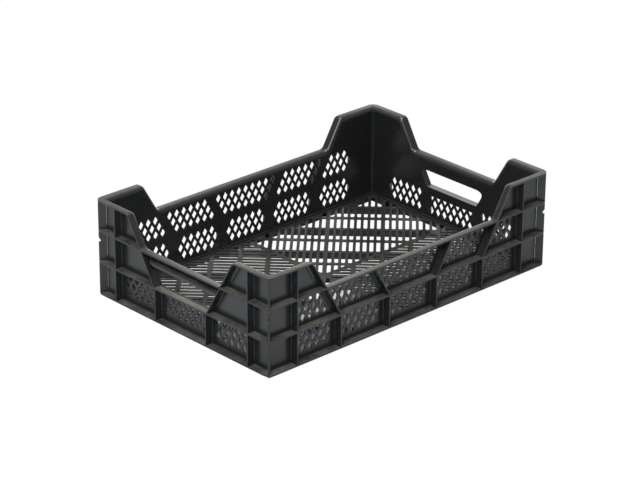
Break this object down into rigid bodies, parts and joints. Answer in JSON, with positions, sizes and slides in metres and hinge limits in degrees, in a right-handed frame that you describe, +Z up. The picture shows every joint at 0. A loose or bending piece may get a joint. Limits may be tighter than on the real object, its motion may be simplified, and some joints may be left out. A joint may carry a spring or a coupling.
{
  "type": "vented stacking crate",
  "caption": "Open-topped vented plastic stacking crate with raised corners, diamond wall vents, a diagonally slotted floor and a hand hole in each end.",
  "frame": {"origin": "on the ground under the middle of the crate", "axes": "+X along the crate's length, +Y along its width, +Z up"},
  "size_m": [0.6, 0.4, 0.168],
  "materials": {
    "crate_plastic": "near-black moulded polypropylene with a fine satin grain"
  },
  "bodies": {
    "root": {"back_band_flange": "crate_plastic", "back_base_flange": "crate_plastic", "back_brace_a1": "crate_plastic", "back_brace_a2": "crate_plastic", "back_brace_b1": "crate_plastic", "back_brace_b2": "crate_plastic", "back_lower_rib_a1": "crate_plastic", "back_lower_rib_a2": "crate_plastic", "back_lower_rib_b1": "crate_plastic", "back_lower_rib_b2": "crate_plastic", "back_top_flange": "crate_plastic", "back_wall_panel": "crate_plastic", "corner_column_back_left": "crate_plastic", "corner_column_back_right": "crate_plastic", "corner_column_front_left": "crate_plastic", "corner_column_front_right": "crate_plastic", "floor_panel_back_left": "crate_plastic", "floor_panel_back_right": "crate_plastic", "floor_panel_front_left": "crate_plastic", "floor_panel_front_right": "crate_plastic", "floor_ribs": "crate_plastic", "front_band_flange": "crate_plastic", "front_base_flange": "crate_plastic", "front_brace_a1": "crate_plastic", "front_brace_a2": "crate_plastic", "front_brace_b1": "crate_plastic", "front_brace_b2": "crate_plastic", "front_lower_rib_a1": "crate_plastic", "front_lower_rib_a2": "crate_plastic", "front_lower_rib_b1": "crate_plastic", "front_lower_rib_b2": "crate_plastic", "front_top_flange": "crate_plastic", "front_wall_panel": "crate_plastic", "left_band_flange": "crate_plastic", "left_base_flange": "crate_plastic", "left_brace_a1": "crate_plastic", "left_brace_b1": "crate_plastic", "left_grip_lip": "crate_plastic", "left_lower_rib_a1": "crate_plastic", "left_lower_rib_b1": "crate_plastic", "left_top_flange": "crate_plastic", "left_wall_panel": "crate_plastic", "right_band_flange": "crate_plastic", "right_base_flange": "crate_plastic", "right_brace_a1": "crate_plastic", "right_brace_b1": "crate_plastic", "right_grip_lip": "crate_plastic", "right_lower_rib_a1": "crate_plastic", "right_lower_rib_b1": "crate_plastic", "right_top_flange": "crate_plastic", "right_wall_panel": "crate_plastic"}
  },
  "joints": []
}
